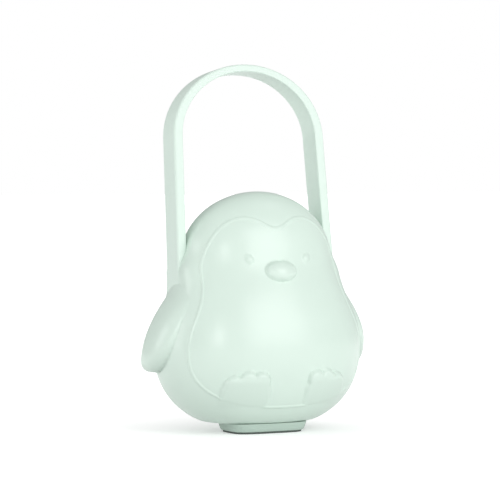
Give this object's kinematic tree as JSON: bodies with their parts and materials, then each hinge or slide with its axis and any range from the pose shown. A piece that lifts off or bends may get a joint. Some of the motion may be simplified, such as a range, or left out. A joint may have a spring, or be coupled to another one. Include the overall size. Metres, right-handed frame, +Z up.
{
  "type": "pacifier sterilizer case",
  "caption": "Penguin-shaped pacifier sterilizer case with a carrying loop, a hinged back door, a mirrored chamber and an ultraviolet lamp.",
  "frame": {"origin": "centre of the foot's underside, on the surface that the case stands on", "axes": "+Z up, +Y towards the back door, +X to the right of someone who faces the penguin"},
  "size_m": [0.1022, 0.0633, 0.1528],
  "materials": {
    "mint_shell": "satin moulded ABS",
    "mint_band": "satin moulded silicone",
    "mint_trim": "satin moulded ABS, a shade darker",
    "grey_rubber": "matt rubber",
    "frame_white": "fine matt moulded ABS",
    "cup_mirror": "vacuum metallised",
    "plate_mirror": "polished",
    "cradle_white": "gloss moulded",
    "steel": "bright zinc",
    "magnet": "nickel plated",
    "quartz": "polished",
    "board_white": "solder mask",
    "board_green": "solder mask",
    "chip": "lens over a ceramic body",
    "switch_black": "moulded",
    "cell_foil": "pouch foil",
    "button_white": "satin gloss",
    "lens_white": "frosted",
    "seal_white": "soft silicone"
  },
  "bodies": {
    "case": {"front_shell": "mint_shell", "loop_handle": "mint_band", "front_frame": "frame_white", "chamber_cup": "cup_mirror", "pacifier_cradle": "cradle_white", "foot_base": "mint_trim", "foot_pad": "grey_rubber", "foot_screws": "steel", "frame_screws": "steel", "hinge_pin": "steel", "case_magnets": "magnet"},
    "door": {"rear_shell": "mint_shell", "rear_frame": "frame_white", "mirror_plate": "plate_mirror", "quartz_window": "quartz", "lamp_board": "board_white", "lamp_chips": "chip", "door_seal": "seal_white", "door_magnets": "magnet", "door_screws": "steel", "main_board": "board_green", "board_screws": "steel", "tact_switch": "switch_black", "battery": "cell_foil", "usb_socket": "steel", "light_pipe": "lens_white", "button_bezel": "mint_trim"},
    "power_button": {"power_button": "button_white", "switch_plunger": "switch_black"},
    "port_cover": {"port_cover": "mint_band"}
  },
  "joints": [
    {"name": "door_hinge", "type": "hinge", "parent": "case", "child": "door", "pos_m": [0.04419, 0.02, 0.04], "axis": [0, 0, -1], "range_deg": [0, 100]},
    {"name": "button_press", "type": "slide", "parent": "door", "child": "power_button", "axis": [0, -1, 0], "range_m": [0, 0.0006], "stiffness_N_per_m": 2000, "springref_m": -0.0003},
    {"name": "port_cover_hinge", "type": "hinge", "parent": "door", "child": "port_cover", "pos_m": [-0.0071, 0.0344, 0.0306], "axis": [0, 0, 1], "range_deg": [0, 95]}
  ]
}
